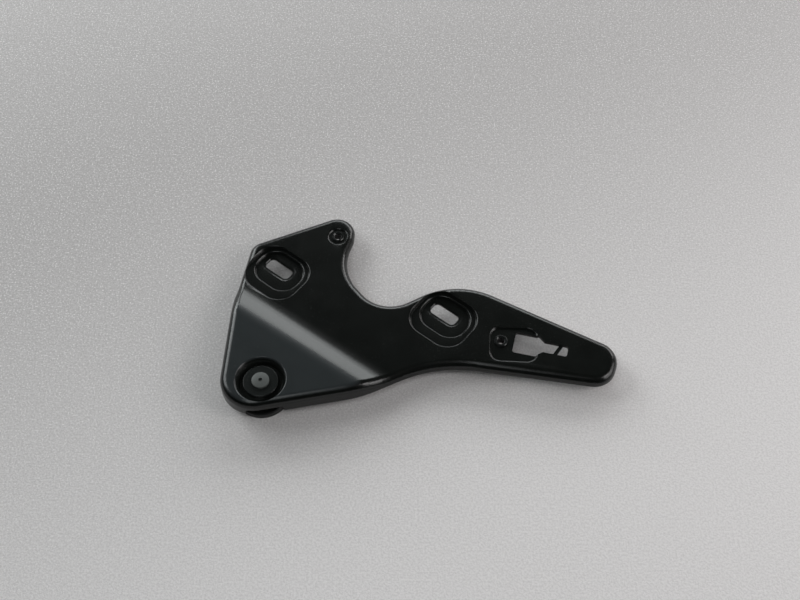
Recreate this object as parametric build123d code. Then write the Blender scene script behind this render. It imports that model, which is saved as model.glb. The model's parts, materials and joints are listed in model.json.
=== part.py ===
"""Boot lid hinge: a joggled, flanged lid plate that turns on a riveted pivot over a flat body leaf.

The model is drawn about the pivot axis with the leaf's underside at Z = 0. The parts are written
with their origin in the middle of the footprint, on the ground.
"""

from build123d import *

import os
from math import atan2, cos, radians, sin, tan

# Sheet and heights of the lid plate, in millimetres
sheet = 2.5
roll_radius = 6.0
pivot_plane = 22.5
joggle_drop = 6.5
flange_edge = 9.0

# Joggle across the plate, as a ramp whose crest lies at a distance from the pivot
joggle_heading = 54.0
joggle_crest = 38.5
joggle_run = 18.0
crest_radius = 34.0
foot_radius = 34.0

# Corners of the lid plate's outline, about the pivot axis; from the lobe to the scoop, about the knob
corner_x = -31.3
corner_y = -27.0
corner_radius = 25.0
side_x = -25.2
side_y = 73.0
side_radius = 45.0
shoulder_x = -15.2
shoulder_y = 125.4
shoulder_radius = 12.0
lobe_right = 15.3
lobe_top = 27.4
lobe_radius = 14.0
waist_right = 12.2
waist_drop = 2.3
waist_radius = 10.0
throat_right = 2.6
throat_drop = 29.9
throat_radius = 40.0
scoop_right = 34.1
scoop_drop = 70.3
scoop_radius = 26.0
brow_x = 142.5
brow_y = 92.8
brow_radius = 57.0
tip_x = 239.4
tip_y = 20.0
tip_radius = 17.7
tip_flat = 1.0
tip_heading = -19.2
tip_half_turn = 42.1
belly_x = 126.4
belly_y = 18.8
belly_radius = 95.0
hip_x = 71.7
hip_y = -7.5
hip_radius = 90.0

# Pivot dish, and the relief in the flange before it
dish_depth = 5.5
dish_floor_radius = 15.1
dish_draft = 32.0
relief_x = 3.5
relief_width = 27.0
relief_top = 14.5
relief_corner = 3.0

# Slotted pads, alike for both slots: the middles of a terrace and of a seat in it about the slot's
pad_heading = -38.5
pad_1_x = 6.7
pad_1_y = 104.8
pad_2_x = 132.8
pad_2_y = 63.1
terrace_x = 3.5
terrace_y = -6.3
terrace_depth = 2.6
terrace_length = 44.0
terrace_width = 39.5
terrace_corner = 14.0
seat_x = 2.8
seat_y = -2.9
seat_depth = 2.2
seat_length = 36.0
seat_width = 28.0
seat_corner = 12.5
pad_draft = 30.0
slot_length = 22.0
slot_width = 9.8
slot_corner = 3.4
slot_break = 0.6
rim_margin = 2.2
rim_depth = 0.5

# Eased rims of all the recesses
ease = 0.45
ease_draft = 60.0

# Knob lobe with its clinch nut
knob_x = 51.2
knob_y = 131.9
knob_floor_radius = 6.8
knob_depth = 1.2
knob_draft = 40.0
knob_shank_radius = 4.7

# Keyhole window, the recess about it and the clinch nut beside it
window_x = 183.1
window_y = 35.9
window_heading = -13.5
window_wide_length = 17.0
window_wide_width = 17.5
window_shoulder = 5.0
window_length = 39.5
window_narrow_width = 9.0
window_corner = 1.8
recess_x = 182.5
recess_y = 33.3
recess_heading = -3.0
recess_length = 32.9
recess_width = 27.4
recess_corner = 7.0
recess_depth = 1.5
recess_draft = 40.0
finger_width = 2.6
finger_back = 7.0
finger_lean = 68.0
finger_drop = 0.8
window_nut_x = 173.5
window_nut_y = 36.6
window_shank_radius = 4.9

# Clinch nuts
nut_bore_radius = 2.5
nut_body_margin = 2.2
nut_body_height = 3.6
nut_collar = 1.1
nut_edge = 0.5
nut_funnel = 1.3

# Pivot stack, from the washer under the rivet's head down to the leaf
journal_radius = 5.0
running_clearance = 0.05
bush_wall = 1.5
bush_flange = 1.5
bush_flange_radius = 11.5
slip_ring = 0.6
slip_ring_radius = 12.0
head_washer = 2.0
head_washer_radius = 12.6
washer_edge = 0.5
loose_clearance = 0.3
rivet_head_radius = 6.3
rivet_head_side = 1.6
rivet_head_height = 2.2
rivet_bore_radius = 1.4
rivet_bore_depth = 3.0
disc_spring_radius = 9.3
disc_spring_sheet = 0.6
disc_spring_space = 1.2
sleeve_radius = 9.8
rivet_foot_radius = 8.0
seat_clearance = 0.02

# Body leaf
leaf_sheet = 5.0
eye_radius = 19.5
ear_radius = 15.0
ear_row_y = 38.0
ear_near_x = 48.0
ear_far_x = 104.0
ear_high_x = 36.0
ear_high_y = 80.0
leaf_hole_radius = 4.5
leaf_edge_break = 0.8

arm_plane = pivot_plane - joggle_drop
dish_floor = pivot_plane - dish_depth
terrace_floor = arm_plane - terrace_depth
seat_floor = terrace_floor - seat_depth
pad_underside = seat_floor - sheet
plate_hole_radius = journal_radius + running_clearance + bush_wall + seat_clearance
washer_top = dish_floor + slip_ring + head_washer
bush_foot = dish_floor - sheet - bush_flange
spring_foot = bush_foot - disc_spring_space
reach = 400.0
overcut = 12.0


def around(x, y, distance, angle):
    """The point at a distance from (x, y) in the direction of an angle in degrees."""
    return (x + distance * cos(radians(angle)), y + distance * sin(radians(angle)))


def tip_corner(side):
    """A corner of the polygon round the arm's tip, on the upper or lower side."""
    distance = tip_radius / cos(radians(tip_half_turn))
    return around(tip_x, tip_y, distance, tip_heading + side * tip_half_turn)


def plate_outline(inset):
    """The plate's outer face in plan, moved in by an inset."""
    corners = [
        ((brow_x, brow_y), brow_radius),
        (tip_corner(1), tip_radius - tip_flat),
        (tip_corner(-1), tip_radius - tip_flat),
        ((belly_x, belly_y), belly_radius),
        ((hip_x, hip_y), hip_radius),
        ((corner_x, corner_y), corner_radius),
        ((side_x, side_y), side_radius),
        ((shoulder_x, shoulder_y), shoulder_radius),
        ((knob_x + lobe_right, knob_y + lobe_top), lobe_radius),
        ((knob_x + waist_right, knob_y - waist_drop), waist_radius),
        ((knob_x + throat_right, knob_y - throat_drop), throat_radius),
        ((knob_x + scoop_right, knob_y - scoop_drop), scoop_radius),
    ]
    points = [point for point, _ in corners]
    radii = [radius for _, radius in corners]
    outline = make_face(FilletPolyline(*points, radius=radii, close=True).edges())
    return offset(outline, amount=-inset) if inset else outline


def joggle_block(depth):
    """All that lies under the plate's top face, lowered by a depth along its normal."""
    slope = atan2(joggle_drop, joggle_run)
    crest = joggle_crest - depth * tan(slope / 2)
    foot = crest + joggle_run
    high = pivot_plane - depth
    low = arm_plane - depth
    top = FilletPolyline(
        (-reach, high),
        (crest, high),
        (foot, low),
        (reach, low),
        radius=[crest_radius - depth, foot_radius + depth],
    )
    ground = -overcut
    sides = Polyline(top @ 1, (reach, ground), (-reach, ground), top @ 0)
    section = make_face(top.edges() + sides.edges())
    heading = radians(joggle_heading)
    along = (cos(heading), sin(heading), 0)
    across = (sin(heading), -cos(heading), 0)
    side_view = Plane((0, 0, 0), x_dir=along, z_dir=across)
    return extrude(side_view * section, reach, both=True)


def rolled_block(depth, bottom):
    """The plate's outer form, or its inner one at the depth of the sheet, with rolled edges."""
    prism = Pos(0, 0, bottom) * extrude(plate_outline(depth), pivot_plane + overcut)
    block = prism & joggle_block(depth)
    crown = [face for face in block.faces() if face.normal_at().Z > 0.5]
    seen = [edge for face in crown for edge in face.edges()]
    rim = [edge for edge in seen if sum(edge.is_same(other) for other in seen) == 1]
    return fillet(rim, roll_radius - depth)


def growth(draft, depth):
    """How far a drafted wall moves out at its foot when it moves by a depth along its normal."""
    return depth * tan(radians(90 - draft) / 2)


def recess(foot, plane, step, draft, depth):
    """A drafted recess a step below a plane with an eased rim, or its inner form at a depth."""
    floor = plane - step - depth
    height = pivot_plane + overcut - floor
    wall = extrude(Pos(0, 0, floor) * foot(growth(draft, depth)), height, taper=-draft)
    if depth:
        return wall
    rise = (step - ease) * tan(radians(draft)) - ease * tan(radians(ease_draft))
    return wall + extrude(Pos(0, 0, plane - 2 * ease) * foot(rise), 3 * ease, taper=-ease_draft)


def pad_place(x, y):
    return Pos(x, y) * Rot(0, 0, pad_heading)


def pad_recess(x, y, depth):
    """The terrace and the seat round one slot."""

    def terrace(more):
        rim = RectangleRounded(terrace_length + 2 * more, terrace_width + 2 * more, terrace_corner + more)
        return pad_place(x, y) * Pos(terrace_x, terrace_y) * rim

    def seat(more):
        rim = RectangleRounded(seat_length + 2 * more, seat_width + 2 * more, seat_corner + more)
        return pad_place(x, y) * Pos(seat_x, seat_y) * rim

    upper = recess(terrace, arm_plane, terrace_depth, pad_draft, depth)
    return upper + recess(seat, terrace_floor, seat_depth, pad_draft, depth)


def round_recess(x, y, radius, plane, step, draft, depth):
    """A round dish."""
    return recess(lambda more: Pos(x, y) * Circle(radius + more), plane, step, draft, depth)


def window_place():
    return Pos(window_x, window_y) * Rot(0, 0, window_heading)


def window_recess(depth):
    """The shallow recess about the window's wide end."""

    def foot(more):
        rim = RectangleRounded(recess_length + 2 * more, recess_width + 2 * more, recess_corner + more)
        return Pos(recess_x, recess_y) * Rot(0, 0, recess_heading) * rim

    return recess(foot, arm_plane, recess_depth, recess_draft, depth)


def pressed_form(depth, bottom):
    """The plate's outer or inner form with all its recesses."""
    form = rolled_block(depth, bottom)
    form -= pad_recess(pad_1_x, pad_1_y, depth)
    form -= pad_recess(pad_2_x, pad_2_y, depth)
    form -= round_recess(0, 0, dish_floor_radius, pivot_plane, dish_depth, dish_draft, depth)
    form -= round_recess(knob_x, knob_y, knob_floor_radius, arm_plane, knob_depth, knob_draft, depth)
    form -= window_recess(depth)
    return form


def slot_cut(x, y):
    """One slot through its pad, with a broken upper edge in a shallow coined rim."""

    def slot(more):
        shape = RectangleRounded(slot_length + 2 * more, slot_width + 2 * more, slot_corner + more)
        return pad_place(x, y) * shape

    rim_floor = seat_floor - rim_depth
    through = Pos(0, 0, seat_floor - sheet - overcut) * extrude(slot(0), sheet + 2 * overcut)
    broken = extrude(Pos(0, 0, rim_floor) * slot(slot_break), -slot_break, taper=45)
    rim = extrude(Pos(0, 0, rim_floor) * slot(rim_margin), 1.4 * rim_depth, taper=-ease_draft)
    return through + broken + rim


def window_cut():
    """The keyhole window, with the slanted finger left across its narrow end."""
    wide = window_wide_width / 2
    narrow = window_narrow_width / 2
    shoulder = window_wide_length + window_shoulder
    points = [
        (0, wide),
        (window_wide_length, wide),
        (shoulder, narrow),
        (window_length, narrow),
        (window_length, -narrow),
        (shoulder, -narrow),
        (window_wide_length, -wide),
        (0, -wide),
    ]
    shape = make_face(FilletPolyline(*points, radius=window_corner, close=True).edges())
    keyhole = Pos(0, 0, -overcut) * extrude(window_place() * shape, pivot_plane + 2 * overcut)
    strip = Rot(0, 0, finger_lean) * Rectangle(3 * window_narrow_width, finger_width)
    finger = window_place() * Pos(window_length - finger_back, 0) * strip
    return keyhole - extrude(finger, arm_plane - finger_drop)


def relief_cut():
    """The arch in the front flange before the pivot."""
    arch = Rectangle(relief_width, 2 * relief_top)
    arch = fillet(arch.vertices(), relief_corner)
    front = Plane((relief_x, -dish_floor_radius, 0), x_dir=(1, 0, 0), z_dir=(0, -1, 0))
    return extrude(front * arch, corner_radius)


def flange_trim():
    """What stands below the flange's edge, which ends above the undersides of the pads."""
    band = plate_outline(0) - plate_outline(sheet)
    return Pos(0, 0, pad_underside) * extrude(band, flange_edge - pad_underside)


def hinge_plate():
    """The pressed lid plate."""
    plate = pressed_form(0, pad_underside) - pressed_form(sheet, -overcut / 2)
    plate -= flange_trim()
    plate -= slot_cut(pad_1_x, pad_1_y) + slot_cut(pad_2_x, pad_2_y)
    plate -= window_cut()
    plate -= relief_cut()
    plate -= Cylinder(plate_hole_radius, reach)
    plate -= Pos(knob_x, knob_y) * Cylinder(knob_shank_radius + seat_clearance, reach)
    plate -= Pos(window_nut_x, window_nut_y) * Cylinder(window_shank_radius + seat_clearance, reach)
    return plate


def turned(points):
    """A turned piece about the Z axis from the corners of its half section."""
    section = make_face(Polyline(*points, close=True).edges())
    return revolve(Plane.XZ * section, Axis.Z)


def clinch_nut(x, y, shank, floor):
    """A clinch nut whose funnelled collar stands a little out of the recess's floor."""
    body = shank + nut_body_margin
    top = floor + nut_collar
    seat = floor - sheet
    foot = seat - nut_body_height
    points = [
        (nut_bore_radius, foot),
        (body, foot),
        (body, seat),
        (shank, seat),
        (shank, top - nut_edge),
        (shank - nut_edge, top),
        (nut_bore_radius + nut_funnel, top),
        (nut_bore_radius, top - nut_funnel),
    ]
    return Pos(x, y) * turned(points)


def pivot_bush():
    """The flanged bearing bush pressed into the plate."""
    inner = journal_radius + running_clearance
    outer = inner + bush_wall
    points = [
        (inner, bush_foot),
        (bush_flange_radius, bush_foot),
        (bush_flange_radius, bush_foot + bush_flange),
        (outer, bush_foot + bush_flange),
        (outer, dish_floor),
        (inner, dish_floor),
    ]
    return turned(points)


def ring(inner, outer, foot, thickness):
    """A flat ring from its foot up."""
    return turned([(inner, foot), (outer, foot), (outer, foot + thickness), (inner, foot + thickness)])


def washer():
    """The plain washer under the rivet's head, with a rounded upper edge."""
    blank = ring(journal_radius + loose_clearance, head_washer_radius, dish_floor + slip_ring, head_washer)
    edge = blank.edges().group_by(Axis.Z)[-1].sort_by(SortBy.RADIUS)[-1]
    return fillet(edge, washer_edge)


def disc_spring():
    """The coned disc spring that takes up the play under the bush."""
    inner = journal_radius + loose_clearance
    cone = disc_spring_space - disc_spring_sheet
    points = [
        (inner, spring_foot + cone),
        (disc_spring_radius, spring_foot),
        (disc_spring_radius, spring_foot + disc_spring_sheet),
        (inner, spring_foot + disc_spring_space),
    ]
    return turned(points)


def pivot_rivet():
    """The pivot rivet: countersunk foot, plain journal and a flat domed head, bored in the middle."""
    side = washer_top + rivet_head_side
    crown = washer_top + rivet_head_height
    dome = TangentArc((0, crown), (rivet_head_radius, side), tangent=(1, 0))
    rest = Polyline(
        (rivet_head_radius, side),
        (rivet_head_radius, washer_top),
        (journal_radius, washer_top),
        (journal_radius, rivet_foot_radius - journal_radius),
        (rivet_foot_radius, 0),
        (0, 0),
        (0, crown),
    )
    body = revolve(Plane.XZ * make_face(dome.edges() + rest.edges()), Axis.Z)
    return body - Pos(0, 0, crown) * Cylinder(rivet_bore_radius, 2 * rivet_bore_depth)


def leaf_outline():
    """The leaf in plan: a hull of the pivot eye and the ears that carry the bolt holes."""
    eye = Circle(eye_radius)
    near = Pos(ear_near_x, ear_row_y) * Circle(ear_radius)
    far = Pos(ear_far_x, ear_row_y) * Circle(ear_radius)
    high = Pos(ear_high_x, ear_high_y) * Circle(ear_radius)
    lower = make_hull(eye.edges() + near.edges())
    row = make_hull(near.edges() + far.edges())
    upper = make_hull(near.edges() + high.edges())
    back = make_hull(eye.edges() + high.edges() + near.edges())
    front = make_hull(far.edges() + high.edges() + near.edges())
    return lower + row + upper + back + front


def body_leaf():
    """The flat leaf that bolts to the car's body, with a countersunk eye for the rivet."""
    leaf = extrude(leaf_outline(), leaf_sheet)
    leaf = chamfer(leaf.edges().group_by(Axis.Z)[-1], leaf_edge_break)
    leaf -= Cylinder(journal_radius + seat_clearance, reach)
    foot = rivet_foot_radius + seat_clearance
    rise = rivet_foot_radius - journal_radius
    leaf -= Pos(0, 0, rise / 2) * Cone(foot, journal_radius + seat_clearance, rise)
    holes = [(ear_near_x, ear_row_y), (ear_far_x, ear_row_y), (ear_high_x, ear_high_y)]
    for x, y in holes:
        leaf -= Pos(x, y) * Cylinder(leaf_hole_radius, reach)
    return leaf


def main():
    knob_floor = arm_plane - knob_depth
    window_floor = arm_plane - recess_depth
    loose_radius = journal_radius + loose_clearance
    parts = {
        "hinge_plate": hinge_plate(),
        "knob_clinch_nut": clinch_nut(knob_x, knob_y, knob_shank_radius, knob_floor),
        "window_clinch_nut": clinch_nut(window_nut_x, window_nut_y, window_shank_radius, window_floor),
        "pivot_bush": pivot_bush(),
        "slip_ring": ring(loose_radius, slip_ring_radius, dish_floor, slip_ring),
        "head_washer": washer(),
        "pivot_rivet": pivot_rivet(),
        "disc_spring": disc_spring(),
        "spacer_sleeve": ring(loose_radius, sleeve_radius, leaf_sheet, spring_foot - leaf_sheet),
        "body_leaf": body_leaf(),
    }
    box = Compound([solid for part in parts.values() for solid in part.solids()]).bounding_box()
    centre = box.center()
    print("origin from the pivot axis", round(centre.X, 3), round(centre.Y, 3))
    os.makedirs("parts", exist_ok=True)
    for name, part in parts.items():
        export_step(Pos(-centre.X, -centre.Y, 0) * part, f"parts/{name}.step")


main()
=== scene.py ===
"""Boot lid hinge in satin black coating, lying folded on a sheet of pale foam."""

import json
import math

import bmesh
import bpy
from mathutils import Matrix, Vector


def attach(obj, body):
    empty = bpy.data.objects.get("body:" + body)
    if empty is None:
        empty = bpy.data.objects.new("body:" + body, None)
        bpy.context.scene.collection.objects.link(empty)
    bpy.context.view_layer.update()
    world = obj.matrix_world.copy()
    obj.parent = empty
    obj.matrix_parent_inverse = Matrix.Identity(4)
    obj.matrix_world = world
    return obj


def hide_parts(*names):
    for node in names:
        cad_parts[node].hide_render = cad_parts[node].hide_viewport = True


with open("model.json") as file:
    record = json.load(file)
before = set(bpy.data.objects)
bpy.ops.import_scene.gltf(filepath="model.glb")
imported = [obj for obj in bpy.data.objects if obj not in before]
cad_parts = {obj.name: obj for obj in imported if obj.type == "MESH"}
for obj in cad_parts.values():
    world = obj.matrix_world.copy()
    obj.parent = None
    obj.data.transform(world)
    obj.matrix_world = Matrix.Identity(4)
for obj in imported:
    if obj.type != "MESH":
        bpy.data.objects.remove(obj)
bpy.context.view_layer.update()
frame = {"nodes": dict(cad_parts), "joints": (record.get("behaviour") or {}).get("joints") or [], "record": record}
scene = bpy.context.scene
scene.view_settings.view_transform = "Standard"

# Where the parts lie, in metres
PIVOT = Vector(frame["joints"][0]["pos_m"])
VIEW_TARGET = PIVOT + Vector((0.099465, 0.072699, 0.015 - PIVOT.z))
VIEW_DISTANCE = 0.9
VIEW_ELEVATION = 56.0
LENS = 54.0

# The M6 thread shown in the nuts' bores, and the reach of the painted shade in them, in metres
THREAD_PITCH = 0.001
THREAD_DEPTH = 0.0003
BORE_REACH = 0.0027
BORE_BLEND = 0.0002

UPWARD = (0.0, 0.0, 1.0)

# Edges that turn less than this are shaded as one rounded skin
SMOOTH_BELOW = math.radians(38)


class Value:
    """A socket's value in shader maths."""

    def __init__(self, recipe, socket):
        self.recipe = recipe
        self.socket = socket

    def maths(self, operation, *others):
        inputs = dict(enumerate((self, *others)))
        return self.recipe.node("ShaderNodeMath", {"operation": operation}, inputs)

    def __add__(self, other):
        return self.maths("ADD", other)

    __radd__ = __add__

    def __sub__(self, other):
        return self.maths("SUBTRACT", other)

    def __rsub__(self, other):
        return self.recipe.number(other).maths("SUBTRACT", self)

    def __mul__(self, other):
        return self.maths("MULTIPLY", other)

    __rmul__ = __mul__

    def above(self, edge, width):
        """0 below an edge and 1 above it, smooth over a width."""
        settings = {"interpolation_type": "SMOOTHSTEP"}
        inputs = {"Value": self, "From Min": edge - width / 2, "From Max": edge + width / 2}
        return self.recipe.node("ShaderNodeMapRange", settings, inputs, "Result")


class Recipe:
    """A procedural material and the nodes in it."""

    def __init__(self, name):
        self.material = bpy.data.materials.new(name)
        self.material.use_nodes = True
        self.tree = self.material.node_tree
        self.shader = self.tree.nodes["Principled BSDF"]
        self.place = self.node("ShaderNodeTexCoord", {}, {}, "Object")

    def node(self, kind, settings, inputs, output=0):
        made = self.tree.nodes.new(kind)
        for name, value in settings.items():
            setattr(made, name, value)
        for name, value in inputs.items():
            if isinstance(value, Value):
                self.tree.links.new(value.socket, made.inputs[name])
            else:
                made.inputs[name].default_value = value
        return Value(self, made.outputs[output])

    def number(self, value):
        return self.node("ShaderNodeMath", {"operation": "ADD"}, {0: value, 1: 0.0})

    def grain(self, scale, detail=2.0, roughness=0.5):
        """Soft noise with a number of features to the metre."""
        inputs = {"Vector": self.place, "Scale": scale, "Detail": detail, "Roughness": roughness}
        return self.node("ShaderNodeTexNoise", {}, inputs, 0)

    def offset(self, origin):
        """The way from an origin to a point."""
        settings = {"operation": "SUBTRACT"}
        return self.node("ShaderNodeVectorMath", settings, {0: self.place, 1: origin})

    def along(self, direction):
        """How far a point lies from the pivot in a direction, in metres."""
        settings = {"operation": "DOT_PRODUCT"}
        return self.node("ShaderNodeVectorMath", settings, {0: self.offset(PIVOT), 1: direction}, "Value")

    def helix(self, foot, pitch):
        """A thread's height, 0 at its root and 1 at its crest, about an upright axis."""
        offset = self.offset(foot)
        across = [self.node("ShaderNodeSeparateXYZ", {}, {0: offset}, part) for part in "XYZ"]
        turn = across[1].maths("ARCTAN2", across[0]) * (0.5 / math.pi)
        return 2.0 * (turn + across[2] * (1.0 / pitch)).maths("PINGPONG", 0.5)

    def mix(self, share, first, second):
        """A colour between two, by a share."""
        inputs = {"Factor": share, 6: first, 7: second}
        return self.node("ShaderNodeMix", {"data_type": "RGBA"}, inputs, 2)

    def relief(self, height, depth):
        """The bent normal of a height map whose full height is a depth in metres."""
        inputs = {"Height": height, "Strength": 1.0, "Distance": depth}
        return self.node("ShaderNodeBump", {}, inputs, 0)

    def finish(self, **sockets):
        """Sets or links sockets of the main shader, named with underscores for spaces."""
        for name, value in sockets.items():
            socket = self.shader.inputs[name.replace("_", " ")]
            if isinstance(value, Value):
                self.tree.links.new(value.socket, socket)
            else:
                socket.default_value = value
        return self.material


def coated_steel(name, colour, sheen, orange_peel, painted_reflection=None):
    """Satin black coating: fine orange peel, faint mottle, specks of dust and, if given, a painted reflection, a
    lighter patch standing in for light the sheet reflects.
    """
    recipe = Recipe(name)
    mottle = recipe.grain(60.0, 3.0)
    peel = recipe.grain(900.0, 2.0)
    dust = recipe.grain(2600.0, 0.0).above(0.83, 0.03) * recipe.grain(35.0).above(0.55, 0.2)
    dark = [part * 0.75 for part in colour] + [1.0]
    light = [part * 1.3 for part in colour] + [1.0]
    base = recipe.mix(mottle, dark, light)
    base = recipe.mix(dust * 0.35, base, (0.16, 0.16, 0.15, 1.0))
    # Painted reflection: part of the sheet is coloured lighter where it stands in for reflected light
    if painted_reflection:
        share = recipe.along(painted_reflection["heading"]).above(painted_reflection["end"], -painted_reflection["fade"])
        share = share * recipe.along(UPWARD).above(painted_reflection["foot"], painted_reflection["rise"])
        base = recipe.mix(share * (0.8 + 0.4 * mottle), base, painted_reflection["colour"])
    return recipe.finish(
        Base_Color=base,
        Roughness=sheen + 0.06 * (mottle - 0.5) + 0.2 * dust,
        Normal=recipe.relief(peel, orange_peel),
        IOR=1.5,
    )


def bare_metal(name, colour, roughness, turning):
    """Plain turned metal with a fine grain in its roughness and relief."""
    recipe = Recipe(name)
    stain = recipe.grain(150.0, 3.0)
    fine = recipe.grain(turning, 1.0)
    dark = [part * 0.8 for part in colour] + [1.0]
    light = [min(1.0, part * 1.1) for part in colour] + [1.0]
    return recipe.finish(
        Base_Color=recipe.mix(stain, dark, light),
        Metallic=1.0,
        Roughness=roughness + 0.12 * (fine - 0.5),
        Normal=recipe.relief(fine, 0.00001),
    )


def threaded_steel(name, colour, roughness, foot):
    """Dark plated steel with a thread cut in the bore about an upright axis, and painted shade: the bore coloured
    near black.
    """
    recipe = Recipe(name)
    stain = recipe.grain(150.0, 3.0)
    dark = [part * 0.8 for part in colour] + [1.0]
    light = [part * 1.2 for part in colour] + [1.0]
    flatten = {0: recipe.offset(foot), 1: (1.0, 1.0, 0.0)}
    level = recipe.node("ShaderNodeVectorMath", {"operation": "MULTIPLY"}, flatten)
    reach = recipe.node("ShaderNodeVectorMath", {"operation": "LENGTH"}, {0: level}, "Value")
    # Painted shade: inside the bore the colour is near black, standing in for shade in the hole; the same mask
    # carries the thread
    bore_and_painted_shade = reach.above(BORE_REACH, -BORE_BLEND)
    return recipe.finish(
        Base_Color=recipe.mix(bore_and_painted_shade, recipe.mix(stain, dark, light), (0.002, 0.002, 0.002, 1.0)),
        Roughness=roughness + 0.1 * (stain - 0.5) + 0.25 * bore_and_painted_shade,
        Normal=recipe.relief(recipe.helix(foot, THREAD_PITCH) * bore_and_painted_shade, THREAD_DEPTH),
    )


def moulded_plastic(name, colour, roughness):
    """Low-friction plastic."""
    recipe = Recipe(name)
    cloud = recipe.grain(400.0, 2.0)
    light = [part * 1.4 for part in colour] + [1.0]
    return recipe.finish(
        Base_Color=recipe.mix(cloud, [*colour, 1.0], light),
        Roughness=roughness + 0.1 * (cloud - 0.5),
        Normal=recipe.relief(cloud, 0.00001),
    )


def foam_sheet(name):
    """Pale speckled foam under the part, with painted light: darker towards the back left and paler towards the
    front right.
    """
    recipe = Recipe(name)
    cells = recipe.grain(650.0, 2.0, 0.8)
    # Painted light: a colour slope from darker back left to paler front right stands in for uneven light on the
    # foam
    painted_light_share = recipe.along((0.4, -0.92, 0.0)).above(-0.02, 0.55)
    clouds = recipe.grain(9.0, 2.0)
    beads = recipe.grain(800.0, 0.0).above(0.68, 0.06)
    base = recipe.mix(cells.above(0.5, 0.3), (0.46, 0.435, 0.435, 1.0), (0.84, 0.815, 0.815, 1.0))
    painted_light_slope = recipe.mix(painted_light_share, (0.37, 0.355, 0.353, 1.0), (0.99, 0.965, 0.965, 1.0))
    base = recipe.mix(0.3 * clouds, base, (0.67, 0.645, 0.642, 1.0))
    base = recipe.mix(0.6, base, painted_light_slope)
    base = recipe.mix(0.6 * beads, base, (0.9, 0.88, 0.88, 1.0))
    return recipe.finish(Base_Color=base, Roughness=0.85, Normal=recipe.relief(cells, 0.0002))


def smooth_copy(node, name):
    """A CAD node's own surface with its facets shaded as one smooth skin between crisp edges."""
    source = frame["nodes"][node]
    mesh = source.data.copy()
    mesh.name = name
    skin = bmesh.new()
    skin.from_mesh(mesh)
    bmesh.ops.remove_doubles(skin, verts=skin.verts, dist=0.000002)
    for face in skin.faces:
        face.smooth = True
    for edge in skin.edges:
        edge.smooth = len(edge.link_faces) == 2 and edge.calc_face_angle(0.0) < SMOOTH_BELOW
    skin.to_mesh(mesh)
    skin.free()
    if mesh.has_custom_normals:
        mesh.attributes.remove(mesh.attributes["custom_normal"])
    piece = bpy.data.objects.new(name, mesh)
    scene.collection.objects.link(piece)
    weigh = piece.modifiers.new("flat_faces", "WEIGHTED_NORMAL")
    weigh.keep_sharp = True
    weigh.weight = 80
    bpy.context.view_layer.update()
    depsgraph = bpy.context.evaluated_depsgraph_get()
    piece.data = bpy.data.meshes.new_from_object(piece.evaluated_get(depsgraph))
    piece.modifiers.clear()
    return piece


def dress(node, name, material):
    """Puts a smooth copy of a node in its place, in a finish."""
    piece = smooth_copy(node, name)
    piece.data.materials.clear()
    piece.data.materials.append(material)
    body = next(b for b, members in frame["record"]["behaviour"]["bodies"].items() if node in members)
    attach(piece, body)
    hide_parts(node)
    return piece


def lamp(name, place, aim, size, radiance, colour):
    """A soft box whose face shines with a radiance."""
    light = bpy.data.lights.new(name, "AREA")
    light.shape = "RECTANGLE"
    light.size, light.size_y = size
    light.energy = radiance * math.pi * size[0] * size[1]
    light.color = colour
    holder = bpy.data.objects.new(name, light)
    holder.location = place
    holder.rotation_euler = (Vector(aim) - Vector(place)).to_track_quat("-Z", "Y").to_euler()
    scene.collection.objects.link(holder)


def photo_camera():
    """The camera at the photograph's place and lens."""
    camera = bpy.data.objects.new("camera", bpy.data.cameras.new("camera"))
    camera.data.lens = LENS
    camera.data.sensor_width = 36.0
    camera.data.clip_start = 0.01
    lift = math.radians(VIEW_ELEVATION)
    away = Vector((0.0, -math.cos(lift), math.sin(lift)))
    camera.location = VIEW_TARGET + VIEW_DISTANCE * away
    camera.rotation_euler = (math.pi / 2 - lift, 0.0, 0.0)
    scene.collection.objects.link(camera)
    scene.camera = camera


def studio():
    """The foam sheet, the lamps and the world."""
    mesh = bpy.data.meshes.new("foam_sheet")
    corners = [(-3.0, -3.0, 0.0), (3.0, -3.0, 0.0), (3.0, 3.0, 0.0), (-3.0, 3.0, 0.0)]
    mesh.from_pydata(corners, [], [(0, 1, 2, 3)])
    mesh.materials.append(foam_sheet("foam"))
    floor = bpy.data.objects.new("foam_sheet", mesh)
    scene.collection.objects.link(floor)
    warm = (1.0, 0.98, 0.975)
    cool = (0.96, 1.0, 1.0)
    middle = (0.0, 0.0, 0.0)
    lamp("ceiling", (-0.235, -0.475, 0.9), (-0.235, -0.475, 0.0), (0.43, 0.55), 2.0, cool)
    lamp("back_window", (0.1, 1.2, 0.53), middle, (0.9, 0.56), 4.0, cool)
    lamp("back_left_window", (-0.9, 1.1, 0.5), middle, (0.8, 0.5), 4.2, cool)
    lamp("back_right_window", (1.0, 1.1, 0.5), middle, (0.8, 0.5), 4.2, warm)
    lamp("left_window", (-1.0, 0.55, 0.8), middle, (0.9, 0.6), 3.4, cool)
    lamp("right_ceiling", (0.95, -0.3, 0.9), middle, (0.42, 0.42), 4.0, warm)
    lamp("right_window", (1.3, -0.2, 0.6), middle, (1.2, 0.6), 2.5, warm)
    world = bpy.data.worlds.new("studio")
    scene.world = world
    world.use_nodes = True
    background = world.node_tree.nodes["Background"]
    background.inputs["Color"].default_value = (1.0, 0.99, 0.985, 1.0)
    background.inputs["Strength"].default_value = 0.01


photo_camera()
studio()

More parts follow.
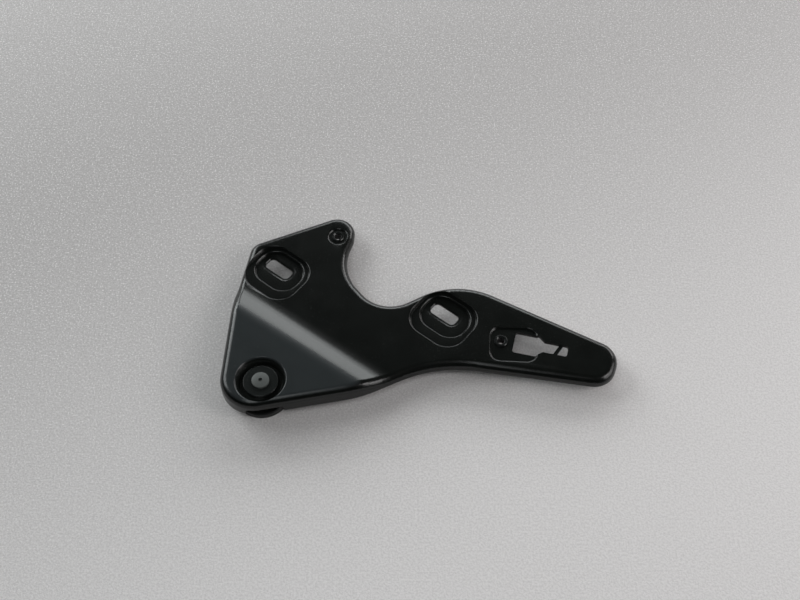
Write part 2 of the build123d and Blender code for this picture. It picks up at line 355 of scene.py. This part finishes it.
BLACK = (0.0045, 0.0055, 0.0048)
LEAF_BLACK = (0.003, 0.0036, 0.0032)
ZINC = (0.013, 0.0145, 0.014)

# The painted reflection on the pivot plane, a lighter bluish patch standing in for light the plane reflects, ends
# at the joggle, seen from the pivot, and keeps to the top of the sheet
JOGGLE = (math.cos(math.radians(54)), math.sin(math.radians(54)), 0.0)
pivot_plane_painted_reflection = {
    "heading": JOGGLE,
    "end": 0.05,
    "fade": 0.016,
    "foot": 0.0044,
    "rise": 0.0014,
    "colour": (0.028, 0.0325, 0.034, 1.0),
}
plate_coat = coated_steel("plate_coat", BLACK, 0.24, 0.000010, pivot_plane_painted_reflection)
leaf_coat = coated_steel("leaf_coat", LEAF_BLACK, 0.42, 0.000012)
# Painted light: the rivet's black coat is coloured grey, a lit copy standing for light on its domed head
rivet_coat = coated_steel("rivet_coat", (0.1, 0.108, 0.105), 0.36, 0.000008)
mounts = frame["record"]["mounts"]
threads = {mount["name"]: mount["pos_m"] for mount in mounts if mount["kind"] == "threaded_hole"}
knob_zinc = threaded_steel("knob_zinc", ZINC, 0.2, threads["knob_thread"])
window_zinc = threaded_steel("window_zinc", ZINC, 0.2, threads["window_thread"])
washer_coat = coated_steel("washer_coat", (0.012, 0.0138, 0.0134), 0.24, 0.000008)
bronze = bare_metal("bush_bronze", (0.55, 0.38, 0.2), 0.42, 1800.0)
spring_steel = bare_metal("spring_steel", (0.3, 0.3, 0.31), 0.35, 1500.0)
sleeve_steel = bare_metal("sleeve_steel", (0.55, 0.55, 0.56), 0.38, 1500.0)
slip_plastic = moulded_plastic("slip_plastic", (0.02, 0.02, 0.02), 0.5)

dress("hinge_plate", "plate_shell", plate_coat)
dress("body_leaf", "leaf_sheet", leaf_coat)
dress("pivot_rivet", "rivet_body", rivet_coat)
dress("head_washer", "washer_ring", washer_coat)
dress("knob_clinch_nut", "knob_nut", knob_zinc)
dress("window_clinch_nut", "window_nut", window_zinc)
dress("pivot_bush", "flanged_bush", bronze)
dress("slip_ring", "slip_washer", slip_plastic)
dress("disc_spring", "coned_spring", spring_steel)
dress("spacer_sleeve", "sleeve", sleeve_steel)
